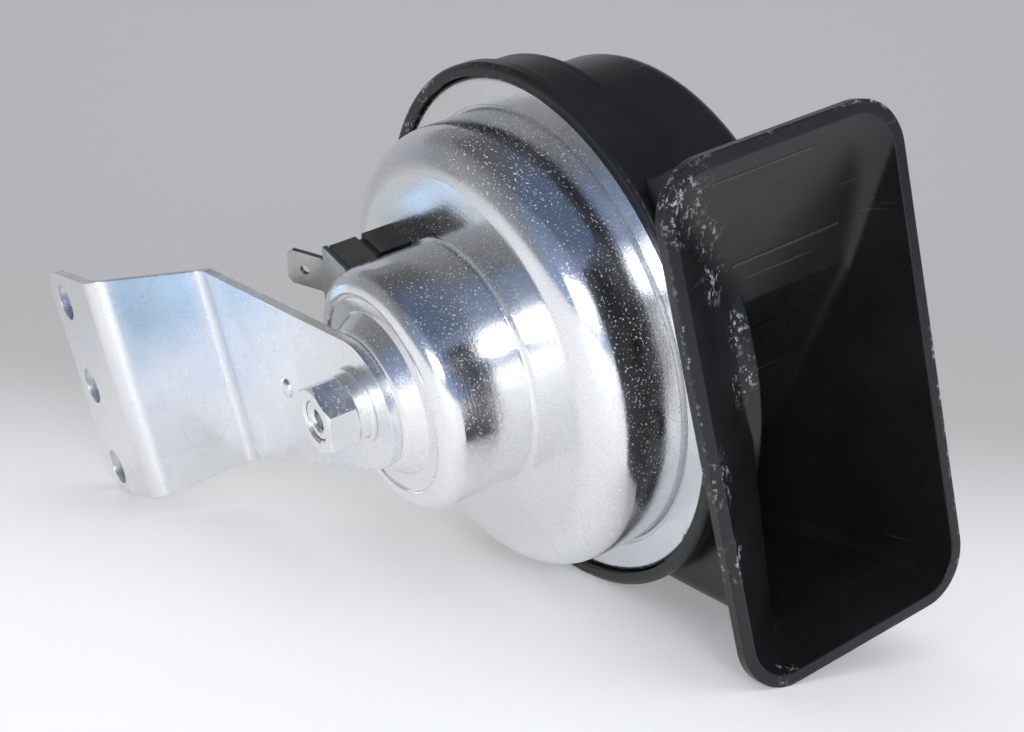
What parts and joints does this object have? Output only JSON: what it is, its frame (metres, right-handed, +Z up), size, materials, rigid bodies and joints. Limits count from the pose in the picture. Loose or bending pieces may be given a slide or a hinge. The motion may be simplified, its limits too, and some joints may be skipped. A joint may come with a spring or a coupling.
{
  "type": "car horn",
  "caption": "Electromagnetic snail horn: zinc-plated stepped sounder on a folded three-hole bracket, with a black moulded scroll and flared bell.",
  "frame": {"origin": "centre of the middle hole of the bracket's end flange, on the face that bolts to the car", "axes": "+X along the horn from the bracket's end flange towards the bell's mouth, -Y out of the nut end of the sounder and along its axis, +Z up"},
  "size_m": [0.1287, 0.0851, 0.0873],
  "materials": {
    "bracket_zinc": "bright zinc plating, satin",
    "housing_zinc": "bright zinc plating with a bluish passivation, mirror-like",
    "rim_zinc": "bright zinc plating, worn on the edge",
    "nut_zinc": "bright zinc plating",
    "washer_zinc": "bright zinc plating",
    "stud_zinc": "plated thread",
    "screw_zinc": "plated screw with locking lacquer",
    "cover_plastic": "black moulded plastic, satin, scuffed",
    "bell_plastic": "black moulded plastic, satin, scuffed and dusty",
    "terminal_plastic": "dark moulded resin",
    "blade_tin": "tinned brass",
    "gasket_paper": "oiled fibre sheet",
    "spring_steel": "blued spring steel",
    "magnet_iron": "soft iron",
    "insulator_plastic": "laminated insulating resin",
    "coil_copper": "enamelled copper wire",
    "contact_brass": "bare brass",
    "contact_tungsten": "ground contact metal"
  },
  "bodies": {
    "body": {"adjusting_screw": "screw_zinc", "blade_terminal": "blade_tin", "clamp_nut": "nut_zinc", "coil_bobbin": "insulator_plastic", "coil_winding": "coil_copper", "contact_carrier": "contact_brass", "contact_rivets": "contact_brass", "contact_spring": "spring_steel", "crimp_ring": "rim_zinc", "diaphragm": "spring_steel", "fixed_contact": "contact_brass", "fixed_point": "contact_tungsten", "flat_washer": "washer_zinc", "gasket": "gasket_paper", "horn_cover": "cover_plastic", "housing": "housing_zinc", "lower_insulator": "insulator_plastic", "middle_insulator": "insulator_plastic", "mounting_bracket": "bracket_zinc", "moving_point": "contact_tungsten", "pole_core": "stud_zinc", "pole_plate": "magnet_iron", "snail_bell": "bell_plastic", "spring_washer": "washer_zinc", "terminal_base": "terminal_plastic", "terminal_block": "terminal_plastic", "upper_insulator": "insulator_plastic"},
    "plunger": {"armature": "magnet_iron", "armature_rivet": "magnet_iron", "lift_collar": "insulator_plastic"}
  },
  "joints": [
    {"name": "armature_stroke", "type": "slide", "parent": "body", "child": "plunger", "axis": [0, -1, 0], "range_m": [-0.00035, 0.00035], "stiffness_N_per_m": 60000, "deforming": ["diaphragm", "contact_spring"]}
  ]
}
